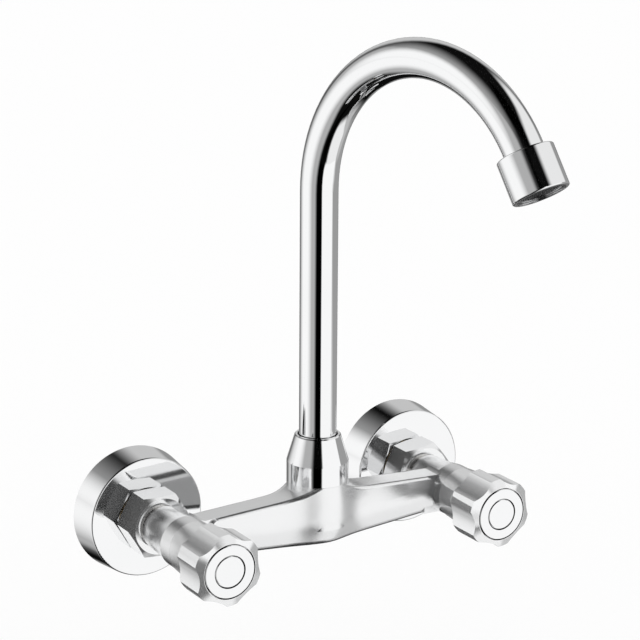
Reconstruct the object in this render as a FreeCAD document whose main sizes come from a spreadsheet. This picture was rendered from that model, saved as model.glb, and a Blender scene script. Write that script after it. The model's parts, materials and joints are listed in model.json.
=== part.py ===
import FreeCAD, Part
import math
import os
from types import SimpleNamespace

import Sketcher

# Wall-mounted bridge mixer for a kitchen sink, with two lobed knobs and a swivelling gooseneck spout.
#
# Millimetres, +Z up. The wall is the plane Y = 0 and the mixer stands out of it towards -Y. The origin is on
# the wall, midway between the two escutcheons. Depths are distances out of the wall: a depth of 60 is Y = -60.
# A turned piece is drawn with its axis upright and then laid down, so its own Z is the depth.

Vector = FreeCAD.Vector
SHEET = "Sizes"

SIZES = {
    # the wall inlets, 150 mm apart, and the eccentric unions screwed into them
    "inlet_spacing": 150.0,
    "union_offset": 8.0,
    "wall_thread_radius": 10.4775,
    "wall_thread_length": 13.0,
    "wall_bore_radius": 7.5,
    "nut_thread_radius": 13.22,
    "nut_thread_start": 11.5,
    "nut_thread_length": 12.5,
    "union_bore_radius": 8.5,
    # the escutcheons
    "escutcheon_radius": 31.25,
    "escutcheon_front_radius": 29.65,
    "escutcheon_depth": 16.3,
    "escutcheon_wall": 1.1,
    "escutcheon_edge": 1.0,
    "escutcheon_play": 0.25,
    # the coupling nuts
    "nut_gap": 0.9,
    "nut_length": 14.1,
    "nut_across_flats": 29.4,
    "nut_lip": 3.0,
    "nut_chamfer": 1.6,
    "nut_tilt_left": 0.0,
    "nut_tilt_right": 8.0,
    # the inlet nipples and washers
    "washer_thickness": 2.0,
    "nipple_flange": 2.2,
    "nipple_flange_radius": 12.3,
    "nipple_neck_radius": 10.0,
    "nipple_thread_radius": 9.0,
    "nipple_thread_length": 7.5,
    "nipple_bore_radius": 6.5,
    # the valve barrels of the body
    "neck_gap": 1.9,
    "barrel_length": 30.2,
    "barrel_back_radius": 11.0,
    "barrel_front_radius": 12.7,
    "barrel_swell": 20.8,
    "barrel_edge": 0.5,
    "seat_wall": 1.6,
    "seat_bore_radius": 5.0,
    "chamber_radius": 10.45,
    # the bridge between the barrels
    "boss_depth": 50.2,
    "boss_radius": 15.0,
    "boss_top": 16.95,
    "bridge_ahead": 8.6,
    "bridge_behind": 8.6,
    "bridge_top": 8.9,
    "bridge_slope": 3.6,
    "bridge_bottom": 10.0,
    "belly_drop": 4.4,
    "belly_lift": 1.3,
    "boss_swell": 6.6,
    "boss_swell_reach": 14.0,
    "boss_rise": 7.2,
    "boss_rise_reach": 12.0,
    "crease_round": 1.7,
    "tuck_radius": 30.0,
    "tuck_angle": 22.0,
    "belly_round": 5.0,
    "back_top_round": 5.0,
    "back_low_round": 4.0,
    "saddle_start": 58.0,
    "saddle_depth": 11.0,
    "top_saddle": 10.0,
    "low_saddle": 6.0,
    "panel_end": 62.8,
    "panel_corner": 4.0,
    "panel_step": 1.8,
    "passage_radius": 5.0,
    "passage_setback": 0.7,
    "passage_drop": 1.5,
    "boss_thread_radius": 13.0,
    "boss_thread_length": 8.05,
    "boss_bore_radius": 11.2,
    "boss_bore_floor": 5.5,
    "mixing_radius": 8.0,
    "mixing_floor": -6.5,
    # the ceramic valve
    "seal_thickness": 1.8,
    "disc_radius": 7.5,
    "disc_thickness": 2.2,
    "disc_gap": 0.02,
    "disc_port_radius": 2.1,
    "disc_port_place": 4.3,
    "sleeve_radius": 9.0,
    "sleeve_start": 0.9,
    "sleeve_window": 8.0,
    "foot_thickness": 2.0,
    "foot_play": 0.15,
    "bonnet_thread_start": 11.1,
    "bonnet_flange_radius": 11.6,
    "bonnet_flange": 1.8,
    "bonnet_seal": 0.9,
    "bonnet_across_flats": 17.0,
    "bonnet_hex_length": 6.0,
    "bonnet_neck_radius": 6.8,
    "bonnet_neck_length": 3.5,
    "spindle_radius": 4.0,
    "running_gap": 0.05,
    "ring_wire": 0.8,
    "ring_pitch": 4.0,
    "ring_inset": 4.5,
    "clip_radius": 6.0,
    "clip_thickness": 0.8,
    "spline_length": 13.0,
    "spline_depth": 0.4,
    "spline_teeth": 20.0,
    # the knobs
    "knob_gap": 0.3,
    "skirt_radius": 13.0,
    "skirt_flare_radius": 14.8,
    "skirt_length": 15.0,
    "skirt_curve": 100.0,
    "lobe_radius": 17.4,
    "lobe_length": 18.1,
    "lobe_back_round": 1.2,
    "lobe_count": 6.0,
    "lobe_turn_left": 36.0,
    "lobe_turn_right": 39.0,
    "flute_depth": 2.2,
    "flute_radius": 19.0,
    "face_edge_radius": 13.4,
    "face_rise": 1.8,
    "cap_radius": 12.8,
    "cap_gap": 0.4,
    "cap_thickness": 3.6,
    "cap_stand": 0.25,
    "button_radius": 7.55,
    "button_thickness": 1.6,
    "knob_hollow_radius": 12.0,
    "knob_web": 4.2,
    "hub_radius": 6.6,
    "hub_gap": 0.5,
    "screw_head_radius": 4.4,
    "screw_head_height": 2.2,
    "screw_radius": 2.0,
    "screw_length": 9.0,
    "screw_hole_radius": 4.6,
    # the swivelling spout
    "tube_radius": 9.05,
    "tube_wall": 1.0,
    "riser_top": 159.5,
    "bend_radius": 70.0,
    "bend_angle": 148.0,
    "outlet_straight": 10.4,
    "spout_heading": 79.0,
    "ferrule_foot": 0.5,
    "ferrule_flange": 2.0,
    "ferrule_flange_radius": 12.2,
    "spout_ring_wire": 1.0,
    "spout_ring_pitch": 6.5,
    "spout_ring_inset": 4.0,
    "slip_washer": 1.0,
    "swivel_nut_radius": 15.0,
    "swivel_nut_band": 9.85,
    "swivel_nut_height": 23.05,
    "swivel_nut_top_radius": 11.2,
    "swivel_nut_opening": 9.6,
    "swivel_nut_edge": 0.5,
    # the aerator
    "collar_radius": 12.9,
    "collar_length": 19.5,
    "collar_lip": 1.4,
    "collar_edge": 0.7,
    "collar_mouth_radius": 11.2,
    "collar_mouth_depth": 1.0,
    "outlet_thread_radius": 11.5,
    "outlet_bush_start": 2.0,
    "aerator_washer": 1.35,
    "aerator_cage_wall": 1.3,
    "diffuser_thickness": 1.0,
    "diffuser_hole_radius": 0.6,
    "screen_thickness": 0.5,
    "screen_pitch": 1.35,
    "screen_wire": 0.35,
}


class Size:
    """A length, angle or count that carries both its number and the sheet expression it comes from."""

    def __init__(self, value, text):
        self.value = float(value)
        self.text = text

    def __add__(self, other):
        other = as_size(other)
        return Size(self.value + other.value, f"({self.text} + {other.text})")

    def __sub__(self, other):
        other = as_size(other)
        return Size(self.value - other.value, f"({self.text} - {other.text})")

    def __mul__(self, other):
        other = as_size(other)
        return Size(self.value * other.value, f"({self.text} * {other.text})")

    def __truediv__(self, other):
        other = as_size(other)
        return Size(self.value / other.value, f"({self.text} / {other.text})")

    def __neg__(self):
        return Size(-self.value, f"(0 - {self.text})")

    __radd__ = __add__
    __rmul__ = __mul__

    def __rsub__(self, other):
        return as_size(other) - self


def as_size(number):
    return number if isinstance(number, Size) else Size(number, repr(float(number)))


def root(size):
    return Size(math.sqrt(size.value), f"sqrt({size.text})")


def sine(degrees):
    return Size(math.sin(math.radians(degrees.value)), f"sin({degrees.text})")


def cosine(degrees):
    return Size(math.cos(math.radians(degrees.value)), f"cos({degrees.text})")


def hump(distance, reach):
    """1 at the middle, falling smoothly to nothing a few reaches away."""
    share = distance / reach
    square = share * share
    return Size(math.exp(-square.value), f"exp(-1 * {square.text})")


doc = FreeCAD.newDocument("kitchen_faucet")
sheet = doc.addObject("Spreadsheet::Sheet", SHEET)
for row, (name, number) in enumerate(SIZES.items(), start=1):
    sheet.set(f"A{row}", name)
    sheet.set(f"B{row}", str(number))
    sheet.setAlias(f"B{row}", name)
doc.recompute()
dim = SimpleNamespace(**{name: Size(number, f"{SHEET}.{name}") for name, number in SIZES.items()})


# ---------------------------------------------------------------- drawing helpers


def bind(thing, path, size):
    thing.setExpression(path, as_size(size).text)


def new_body(label):
    body = doc.addObject("PartDesign::Body", label)
    body.Label = label
    return body


def sketch_on(body, role, lift=0):
    """An empty sketch on one of the body's own planes, lifted along that plane's normal."""
    sketch = body.newObject("Sketcher::SketchObject", f"{body.Label}_sketch")
    sketch.AttachmentSupport = [(next(o for o in body.Origin.OriginFeatures if o.Role == role), "")]
    sketch.MapMode = "FlatFace"
    sketch.AttachmentOffset = FreeCAD.Placement(Vector(0, 0, as_size(lift).value), FreeCAD.Rotation())
    bind(sketch, "AttachmentOffset.Base.z", lift)
    return sketch


def constrain(sketch, kind, *where, size):
    index = sketch.addConstraint(Sketcher.Constraint(kind, *where, as_size(size).value))
    bind(sketch, f"Constraints[{index}]", size)


def pin_point(sketch, edge, end, u, v):
    constrain(sketch, "DistanceX", -1, 1, edge, end, size=u)
    constrain(sketch, "DistanceY", -1, 1, edge, end, size=v)


def arc_centre(start, end, radius, side):
    """The centre of an arc from start to end that bulges to the right of its chord (side 1) or left (-1)."""
    chord = end - start
    height = math.sqrt(radius**2 - (chord.Length / 2) ** 2)
    left = Vector(-chord.y, chord.x, 0).normalize()
    return (start + end) * 0.5 + left * height * side


def draw(sketch, points):
    """A closed outline. A point is (u, v); one written (u, v, radius, side) is left by an arc."""
    spots = [Vector(as_size(p[0]).value, as_size(p[1]).value, 0) for p in points]
    ends = []
    for i, point in enumerate(points):
        start, end = spots[i], spots[(i + 1) % len(points)]
        if len(point) == 2:
            edge = sketch.addGeometry(Part.LineSegment(start, end))
            ends.append((edge, 1, 2))
            continue
        radius, side = as_size(point[2]), point[3]
        centre = arc_centre(start, end, radius.value, side)
        first, last = (start, end) if side > 0 else (end, start)
        angles = [math.atan2(p.y - centre.y, p.x - centre.x) for p in (first, last)]
        circle = Part.Circle(centre, Vector(0, 0, 1), radius.value)
        edge = sketch.addGeometry(Part.ArcOfCircle(circle, *angles))
        constrain(sketch, "Radius", edge, size=radius)
        ends.append((edge, 1, 2) if side > 0 else (edge, 2, 1))
    for i, point in enumerate(points):
        edge, start, end = ends[i]
        following = ends[(i + 1) % len(points)]
        sketch.addConstraint(Sketcher.Constraint("Coincident", edge, end, following[0], following[1]))
        pin_point(sketch, edge, start, point[0], point[1])


def draw_circle(sketch, u, v, radius):
    centre = Vector(as_size(u).value, as_size(v).value, 0)
    edge = sketch.addGeometry(Part.Circle(centre, Vector(0, 0, 1), as_size(radius).value))
    constrain(sketch, "Radius", edge, size=radius)
    pin_point(sketch, edge, 3, u, v)


def draw_hexagon(sketch, across_flats):
    """A hexagon about the sketch's origin with a flat at the top and one at the bottom."""
    half_flat = as_size(across_flats) / 2
    half_side = half_flat / root(as_size(3))
    corner = half_side * 2
    draw(sketch, [(corner, 0), (half_side, half_flat), (-half_side, half_flat),
                  (-corner, 0), (-half_side, -half_flat), (half_side, -half_flat)])


def draw_axis(sketch, u):
    """A construction line parallel to the sketch's vertical, to turn a profile about."""
    x = as_size(u).value
    edge = sketch.addGeometry(Part.LineSegment(Vector(x, 0, 0), Vector(x, 1, 0)), True)
    pin_point(sketch, edge, 1, u, 0)
    pin_point(sketch, edge, 2, u, 1)


def turn(body, kind, sketch, axis="V_Axis", angle=360.0):
    feature = body.newObject(f"PartDesign::{kind}", f"{body.Label}_{kind.lower()}")
    feature.Profile = sketch
    feature.ReferenceAxis = (sketch, [axis])
    feature.Angle = as_size(angle).value
    bind(feature, "Angle", angle)
    doc.recompute()
    return feature


def revolve(body, points, kind="Revolution"):
    """Turns a profile of (radius, depth) points about the body's Z axis; kind Groove cuts it away."""
    sketch = sketch_on(body, "XZ_Plane")
    draw(sketch, points)
    return turn(body, kind, sketch)


def extrude(body, role, start, end, shape, kind="Pad"):
    """Pads or pockets between two heights over a plane; shape draws the outline into the sketch."""
    start, end = as_size(start), as_size(end)
    sketch = sketch_on(body, role, start if kind == "Pad" else end)
    shape(sketch)
    feature = body.newObject(f"PartDesign::{kind}", f"{body.Label}_{kind.lower()}")
    feature.Profile = sketch
    feature.Length = (end - start).value
    bind(feature, "Length", end - start)
    doc.recompute()
    return feature


def cut(body, role, start, end, shape):
    """A pocket that has to take material away."""
    before = body.Shape.Volume
    feature = extrude(body, role, start, end, shape, kind="Pocket")
    if body.Shape.Volume > before - 1e-6:
        raise RuntimeError(f"a pocket in {body.Label} cuts nothing")
    return feature


def polar(body, feature, count):
    """Repeats a feature about the body's Z axis."""
    pattern = body.newObject("PartDesign::PolarPattern", f"{body.Label}_pattern")
    pattern.Originals = [feature]
    pattern.Axis = (next(o for o in body.Origin.OriginFeatures if o.Role == "Z_Axis"), [""])
    pattern.Angle = 360.0
    pattern.Occurrences = int(as_size(count).value)
    bind(pattern, "Occurrences", count)
    body.Tip = pattern
    doc.recompute()
    return pattern


def fillet(body, edges, radius):
    """Rounds the edges of the body's present shape that the test picks out."""
    base = body.Tip
    names = [f"Edge{i}" for i, edge in enumerate(base.Shape.Edges, start=1) if edges(edge)]
    feature = body.newObject("PartDesign::Fillet", f"{body.Label}_fillet")
    feature.Base = (base, names)
    feature.Radius = as_size(radius).value
    bind(feature, "Radius", radius)
    doc.recompute()
    return feature


def box_of(u, v, width, height):
    """Draws a rectangle about the point (u, v)."""
    left, right = u - width / 2, u + width / 2
    low, high = v - height / 2, v + height / 2
    return lambda sketch: draw(sketch, [(left, low), (right, low), (right, high), (left, high)])


def circle_of(u, v, radius):
    return lambda sketch: draw_circle(sketch, u, v, radius)


def place(body, x, y, z, rotation=None):
    """Puts a body in the mixer's frame and binds its position to the sheet."""
    x, y, z = as_size(x), as_size(y), as_size(z)
    body.Placement = FreeCAD.Placement(Vector(x.value, y.value, z.value), rotation or FreeCAD.Rotation())
    bind(body, "Placement.Base.x", x)
    bind(body, "Placement.Base.y", y)
    bind(body, "Placement.Base.z", z)


def lay_down(body, side, turned=0.0):
    """Lays a turned piece along the depth axis of one inlet, turned about its own axis by some degrees."""
    facing_out = FreeCAD.Rotation(Vector(1, 0, 0), 90)
    about_axis = FreeCAD.Rotation(Vector(0, 0, 1), as_size(turned).value)
    place(body, side * dim.inlet_spacing / 2, 0, 0, facing_out.multiply(about_axis))


def ring_pair(body, radius, wire, first, pitch):
    """Two O-rings in one node: circles of wire turned about the axis."""
    for depth in (first, first + pitch):
        sketch = sketch_on(body, "XZ_Plane")
        draw_circle(sketch, radius, depth, wire)
        turn(body, "Revolution", sketch)


# ---------------------------------------------------------------- depths out of the wall

escutcheon_inner = dim.escutcheon_depth - dim.escutcheon_wall
union_end = dim.nut_thread_start + dim.nut_thread_length
nut_back = dim.escutcheon_depth + dim.nut_gap
nut_front = nut_back + dim.nut_length
barrel_back = nut_front + dim.neck_gap
barrel_front = barrel_back + dim.barrel_length
flange_back = union_end + dim.washer_thickness
flange_front = flange_back + dim.nipple_flange
nipple_end = barrel_back + dim.nipple_thread_length
seat = nipple_end + dim.running_gap + dim.seat_wall
sleeve_bore_radius = dim.disc_radius + dim.running_gap
fixed_disc_back = seat + dim.seal_thickness
turning_disc_back = fixed_disc_back + dim.disc_thickness + dim.disc_gap
foot_back = turning_disc_back + dim.disc_thickness + dim.disc_gap
foot_front = foot_back + dim.foot_thickness
sleeve_floor = foot_front + dim.foot_play
flange_seat = barrel_front + dim.bonnet_seal
hex_back = flange_seat + dim.bonnet_flange
neck_back = hex_back + dim.bonnet_hex_length
bonnet_end = neck_back + dim.bonnet_neck_length
clip_back = bonnet_end + dim.running_gap
spline_back = clip_back + dim.clip_thickness * 2
spindle_end = spline_back + dim.spline_length
skirt_back = barrel_front + dim.knob_gap
lobe_back = skirt_back + dim.skirt_length
lobe_front = lobe_back + dim.lobe_length
knob_front = lobe_front + dim.face_rise
cap_front = knob_front + dim.cap_stand
cap_back = cap_front - dim.cap_thickness
web_back = cap_back - dim.running_gap - dim.knob_web
screw_seat = spindle_end + dim.running_gap

# ---------------------------------------------------------------- heights of the spout's parts

boss_rim = dim.boss_top + dim.boss_thread_length
ferrule_foot = dim.boss_bore_floor + dim.ferrule_foot
ferrule_top = boss_rim + dim.ferrule_flange
nut_ceiling = ferrule_top + dim.slip_washer
swivel_nut_top = dim.boss_top + dim.swivel_nut_height
bridge_front = dim.boss_depth + dim.bridge_ahead


# ---------------------------------------------------------------- the inlets


def make_union(side, name):
    """Eccentric union: a wall thread and a nut thread on parallel axes, joined by a slanted neck."""
    body = new_body(name + "union")
    low = -dim.union_offset
    extrude(body, "XY_Plane", -dim.wall_thread_length, 0, circle_of(0, low, dim.wall_thread_radius))
    loft_between(body, "AdditiveLoft", dim.wall_thread_radius, dim.nut_thread_radius)
    extrude(body, "XY_Plane", dim.nut_thread_start, union_end, circle_of(0, 0, dim.nut_thread_radius))
    cut(body, "XY_Plane", -dim.wall_thread_length, 0, circle_of(0, low, dim.wall_bore_radius))
    loft_between(body, "SubtractiveLoft", dim.wall_bore_radius, dim.union_bore_radius)
    cut(body, "XY_Plane", dim.nut_thread_start, union_end, circle_of(0, 0, dim.union_bore_radius))
    lay_down(body, side)


def loft_between(body, kind, wall_radius, nut_radius):
    """The slanted neck of a union, from a circle at the wall to one at the nut thread."""
    at_wall = sketch_on(body, "XY_Plane")
    draw_circle(at_wall, 0, -dim.union_offset, wall_radius)
    at_nut = sketch_on(body, "XY_Plane", dim.nut_thread_start)
    draw_circle(at_nut, 0, 0, nut_radius)
    loft = body.newObject(f"PartDesign::{kind}", f"{body.Label}_loft")
    loft.Profile = at_wall
    loft.Sections = [at_nut]
    loft.Ruled = True
    doc.recompute()


def make_escutcheon(side, name):
    """A drum cover, open at the wall, with a hole for the union in its face."""
    body = new_body(name + "escutcheon")
    hole = dim.nut_thread_radius + dim.escutcheon_play
    edge = dim.escutcheon_edge
    revolve(body, [
        (hole, escutcheon_inner),
        (hole, dim.escutcheon_depth),
        (dim.escutcheon_front_radius - edge, dim.escutcheon_depth, edge, -1),
        (dim.escutcheon_front_radius, dim.escutcheon_depth - edge),
        (dim.escutcheon_radius, 0),
        (dim.escutcheon_radius - dim.escutcheon_wall, 0),
        (dim.escutcheon_front_radius - dim.escutcheon_wall, escutcheon_inner),
    ])
    lay_down(body, side)


def make_coupling_nut(side, name, tilt):
    """Hexagon nut with a female thread and an inner lip that holds the nipple's flange."""
    body = new_body(name + "coupling_nut")
    extrude(body, "XY_Plane", nut_back, nut_front, lambda sketch: draw_hexagon(sketch, dim.nut_across_flats))
    flat = dim.nut_across_flats / 2
    outside = dim.nut_across_flats
    slope = dim.nut_chamfer
    revolve(body, [(flat - slope / 2, nut_front), (outside, nut_front),
                   (outside, nut_front - slope * 1.5), (flat + slope * 1.5, nut_front - slope * 1.1)], "Groove")
    revolve(body, [(flat, nut_back), (outside, nut_back),
                   (outside, nut_back + slope), (flat + slope * 1.5, nut_back + slope * 0.7)], "Groove")
    thread = dim.nut_thread_radius + dim.running_gap
    lip = dim.nipple_neck_radius + dim.running_gap
    revolve(body, [(0, nut_back), (thread, nut_back), (thread, nut_front - dim.nut_lip),
                   (lip, nut_front - dim.nut_lip), (lip, nut_front), (0, nut_front)], "Groove")
    lay_down(body, side, tilt)


def make_inlet_washer(side, name):
    body = new_body(name + "inlet_washer")
    revolve(body, [(dim.union_bore_radius, union_end), (dim.nipple_flange_radius, union_end),
                   (dim.nipple_flange_radius, flange_back), (dim.union_bore_radius, flange_back)])
    lay_down(body, side)


def make_inlet_nipple(side, name):
    """Flanged nipple: the flange stays in the nut, the threaded end in the back of the barrel."""
    body = new_body(name + "inlet_nipple")
    revolve(body, [
        (dim.nipple_bore_radius, flange_back),
        (dim.nipple_flange_radius, flange_back),
        (dim.nipple_flange_radius, flange_front),
        (dim.nipple_neck_radius, flange_front),
        (dim.nipple_neck_radius, barrel_back),
        (dim.nipple_thread_radius, barrel_back),
        (dim.nipple_thread_radius, nipple_end),
        (dim.nipple_bore_radius, nipple_end),
    ])
    lay_down(body, side)


# ---------------------------------------------------------------- the cast body


def bridge_section(across):
    """The bridge cut across, some distance from the middle: front tucked under, crease along the top."""
    share = root(across * across) / (dim.inlet_spacing / 2)
    fullness = 1 - share * share
    swell = dim.boss_swell * hump(across, dim.boss_swell_reach)
    top = dim.bridge_top + dim.bridge_slope * (1 - share) + dim.boss_rise * hump(across, dim.boss_rise_reach)
    flatter = dim.belly_lift * hump(across, dim.boss_swell_reach)
    low = -dim.bridge_bottom - dim.belly_drop * fullness * fullness + flatter
    front = -dim.boss_depth - dim.bridge_ahead - swell
    back = -dim.boss_depth + dim.bridge_behind + swell
    crease, belly, tuck = dim.crease_round, dim.belly_round, dim.tuck_radius
    tuck_y, tuck_z = cosine(dim.tuck_angle), sine(dim.tuck_angle)
    belly_y = front + tuck - (tuck - belly) * tuck_y
    tuck_start = low + belly + (tuck - belly) * tuck_z
    return lambda sketch: draw(sketch, [
        (front, top - crease),
        (front, tuck_start, tuck, 1),
        (belly_y - belly * tuck_y, low + belly - belly * tuck_z, belly, 1),
        (belly_y, low),
        (back - dim.back_low_round, low, dim.back_low_round, 1),
        (back, low + dim.back_low_round),
        (back, top - dim.back_top_round, dim.back_top_round, 1),
        (back - dim.back_top_round, top),
        (front + crease, top, crease, 1),
    ])


def loft_bridge(body):
    """The bridge from one inlet to the other as one smooth skin over its sections."""
    half = dim.inlet_spacing / 2
    steps = 8
    sections = []
    for step in range(-steps, steps + 1):
        across = half * (step / steps)
        section = sketch_on(body, "YZ_Plane", across)
        bridge_section(across)(section)
        sections.append(section)
    loft = body.newObject("PartDesign::AdditiveLoft", "body_loft")
    loft.Profile = sections[0]
    loft.Sections = sections[1:]
    doc.recompute()


def saddle(height, radius):
    """Where a hollow of some radius leaves a level line of the bridge, and where it touches the barrel."""
    barrel = dim.barrel_front_radius
    reach = radius + barrel
    rise = height + radius
    across = root(reach * reach - rise * rise)
    half = dim.inlet_spacing / 2
    return half - across, half - across * barrel / reach, rise * barrel / reach


def saddle_view(side):
    """Front view of the hollows that lead the bridge's top and bottom into a barrel."""
    top, low = dim.bridge_top, dim.bridge_bottom
    top_x, top_touch_x, top_touch_z = saddle(top, dim.top_saddle)
    low_x, low_touch_x, low_touch_z = saddle(low, dim.low_saddle)
    points = [
        (top_touch_x, top_touch_z),
        (low_touch_x, -low_touch_z, dim.low_saddle, 1),
        (low_x, -low),
        (dim.saddle_start, -low),
        (dim.saddle_start, top),
        (top_x, top, dim.top_saddle, 1),
    ]
    return lambda sketch: draw(sketch, points if side > 0 else [mirrored(point) for point in points])


def panel_notch(side):
    """The step at the end of the bridge's front face, where it drops back beside the barrel."""
    def shape(sketch):
        end, corner = dim.panel_end, dim.panel_corner
        top, low = dim.bridge_top, dim.bridge_bottom
        over = corner * 2
        half = dim.inlet_spacing / 2
        points = [
            (end - corner, top + over),
            (end - corner, top, corner, -1),
            (end, top - corner),
            (end, corner - low, corner, -1),
            (end - corner, -low),
            (end - corner, -low - over),
            (half, -low - over),
            (half, top + over),
        ]
        if side < 0:
            points = [mirrored(point) for point in points]
        draw(sketch, points)
    return shape


def mirrored(point):
    return (-point[0], point[1]) if len(point) == 2 else (-point[0], point[1], point[2], -point[3])


def make_main_body():
    """The one-piece casting: bridge, two valve barrels, the boss for the spout and the waterways."""
    body = new_body("body")
    middle = -dim.boss_depth
    panel_back = bridge_front - dim.panel_step
    loft_bridge(body)
    for side in (-1, 1):
        cut(body, "XZ_Plane", panel_back, bridge_front + 1, panel_notch(side))
        extrude(body, "XZ_Plane", panel_back - dim.saddle_depth, panel_back, saddle_view(side))
    over = dim.boss_top + dim.boss_rise
    cut(body, "XY_Plane", dim.boss_top, over, circle_of(0, middle, dim.boss_radius * 2))
    extrude(body, "XY_Plane", -dim.bridge_bottom / 2, dim.boss_top, circle_of(0, middle, dim.boss_radius))
    for side in (-1, 1):
        turn_barrel(body, side, "Revolution", barrel_profile())
    extrude(body, "XY_Plane", dim.boss_top, boss_rim, circle_of(0, middle, dim.boss_thread_radius))
    for side in (-1, 1):
        turn_barrel(body, side, "Groove", barrel_bore())
    cut(body, "XY_Plane", dim.boss_bore_floor, boss_rim, circle_of(0, middle, dim.boss_bore_radius))
    cut(body, "XY_Plane", dim.mixing_floor, dim.boss_bore_floor, circle_of(0, middle, dim.mixing_radius))
    half = dim.inlet_spacing / 2
    passage = circle_of(middle + dim.passage_setback, -dim.passage_drop, dim.passage_radius)
    cut(body, "YZ_Plane", -half, half, passage)


def barrel_profile():
    """(radius, depth) points of a barrel: it swells from the back and runs straight to the knob."""
    edge, swell = dim.barrel_edge, dim.barrel_swell
    growth = dim.barrel_front_radius - dim.barrel_back_radius
    curve = (swell * swell + growth * growth) / (growth * 2)
    return [
        (0, barrel_back),
        (dim.barrel_back_radius - edge, barrel_back),
        (dim.barrel_back_radius, barrel_back + edge, curve, -1),
        (dim.barrel_front_radius, barrel_back + edge + swell),
        (dim.barrel_front_radius, barrel_front),
        (0, barrel_front),
    ]


def barrel_bore():
    """(radius, depth) points of the bores in a barrel: nipple thread, seat and valve chamber."""
    thread = dim.nipple_thread_radius + dim.running_gap
    return [
        (0, barrel_back),
        (thread, barrel_back),
        (thread, nipple_end + dim.running_gap),
        (dim.seat_bore_radius, nipple_end + dim.running_gap),
        (dim.seat_bore_radius, seat),
        (dim.chamber_radius, seat),
        (dim.chamber_radius, barrel_front),
        (0, barrel_front),
    ]


def turn_barrel(body, side, kind, points):
    """Turns a (radius, depth) profile about one inlet's axis, inside the casting."""
    axis = side * dim.inlet_spacing / 2
    sketch = sketch_on(body, "XY_Plane")
    draw_axis(sketch, axis)
    draw(sketch, [(axis + p[0], -p[1]) if len(p) == 2 else (axis + p[0], -p[1], p[2], -p[3]) for p in points])
    turn(body, kind, sketch, "Axis0")


# ---------------------------------------------------------------- the ceramic valves


def make_seat_seal(side, name):
    body = new_body(name + "seat_seal")
    inner = dim.seat_bore_radius
    revolve(body, [(inner, seat), (dim.disc_radius, seat), (dim.disc_radius, fixed_disc_back),
                   (inner, fixed_disc_back)])
    lay_down(body, side)


def make_disc(side, name, back):
    """A ceramic disc with two round ports; one disc turns on the other."""
    body = new_body(name)
    front = back + dim.disc_thickness
    extrude(body, "XY_Plane", back, front, circle_of(0, 0, dim.disc_radius))
    for way in (-1, 1):
        cut(body, "XY_Plane", back, front, circle_of(way * dim.disc_port_place, 0, dim.disc_port_radius))
    lay_down(body, side)


def make_spindle(side, name, turned):
    """Drive foot, round stem with two seal grooves and a clip groove, splined end with a screw hole."""
    body = new_body(name + "spindle")
    stem, wire = dim.spindle_radius, dim.ring_wire
    groove = stem - wire
    points = [(0, foot_back), (dim.disc_radius, foot_back), (dim.disc_radius, foot_front), (stem, foot_front)]
    for depth in ring_depths():
        points += [(stem, depth - wire), (groove, depth - wire), (groove, depth + wire), (stem, depth + wire)]
    points += [
        (stem, clip_back),
        (groove, clip_back),
        (groove, clip_back + dim.clip_thickness),
        (stem, clip_back + dim.clip_thickness),
        (stem, spline_back),
        (stem - dim.spline_depth, spline_back),
        (stem - dim.spline_depth, spindle_end),
        (0, spindle_end),
    ]
    revolve(body, points)
    tooth = extrude(body, "XY_Plane", spline_back, spindle_end, spline_tooth(stem - dim.spline_depth, stem))
    polar(body, tooth, dim.spline_teeth)
    cut(body, "XY_Plane", spindle_end - dim.screw_length, spindle_end,
        circle_of(0, 0, dim.screw_radius + dim.running_gap))
    lay_down(body, side, turned)


def ring_depths():
    """Depths of the two seals on a spindle's stem."""
    first = sleeve_floor + dim.ring_inset
    return first, first + dim.ring_pitch


def spline_tooth(base, tip):
    """A tooth on the outside of a shaft, or its slot in a hub: wide at the base and narrow at the tip."""
    wide, narrow = base * 0.11, base * 0.05
    sunk = base - dim.spline_depth / 4
    return lambda sketch: draw(sketch, [(sunk, -wide), (tip, -narrow), (tip, narrow), (sunk, wide)])


def make_spindle_rings(side, name):
    """O-rings a little thinner than their grooves are deep, so that they only just reach the bore."""
    body = new_body(name + "spindle_o_rings")
    wire = dim.ring_wire / 2
    first, second = ring_depths()
    ring_pair(body, dim.spindle_radius - wire, wire, first, second - first)
    lay_down(body, side)


def make_bonnet(side, name):
    """Headwork body: windowed sleeve round the discs, thread, flange, hexagon and neck."""
    body = new_body(name + "bonnet")
    start = seat + dim.sleeve_start
    thread_back = seat + dim.bonnet_thread_start
    thread = dim.chamber_radius - dim.running_gap
    stem = dim.spindle_radius + dim.running_gap
    revolve(body, [
        (sleeve_bore_radius, start),
        (dim.sleeve_radius, start),
        (dim.sleeve_radius, thread_back),
        (thread, thread_back),
        (thread, flange_seat),
        (dim.bonnet_flange_radius, flange_seat),
        (dim.bonnet_flange_radius, hex_back),
        (dim.bonnet_neck_radius, hex_back),
        (dim.bonnet_neck_radius, bonnet_end),
        (stem, bonnet_end),
        (stem, sleeve_floor),
        (sleeve_bore_radius, sleeve_floor),
    ])
    extrude(body, "XY_Plane", hex_back, neck_back, lambda sketch: bonnet_hexagon(sketch, stem))
    reach = dim.sleeve_radius * 2 + 2
    cut(body, "XY_Plane", turning_disc_back, sleeve_floor, box_of(as_size(0), as_size(0), reach, dim.sleeve_window))
    lay_down(body, side)


def bonnet_hexagon(sketch, stem):
    draw_hexagon(sketch, dim.bonnet_across_flats)
    draw_circle(sketch, 0, 0, stem)


def make_bonnet_seal(side, name):
    """Flat ring between the barrel's front face and the bonnet's flange."""
    body = new_body(name + "bonnet_seal")
    inner = dim.chamber_radius
    revolve(body, [(inner, barrel_front), (dim.bonnet_flange_radius, barrel_front),
                   (dim.bonnet_flange_radius, flange_seat), (inner, flange_seat)])
    lay_down(body, side)


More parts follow.
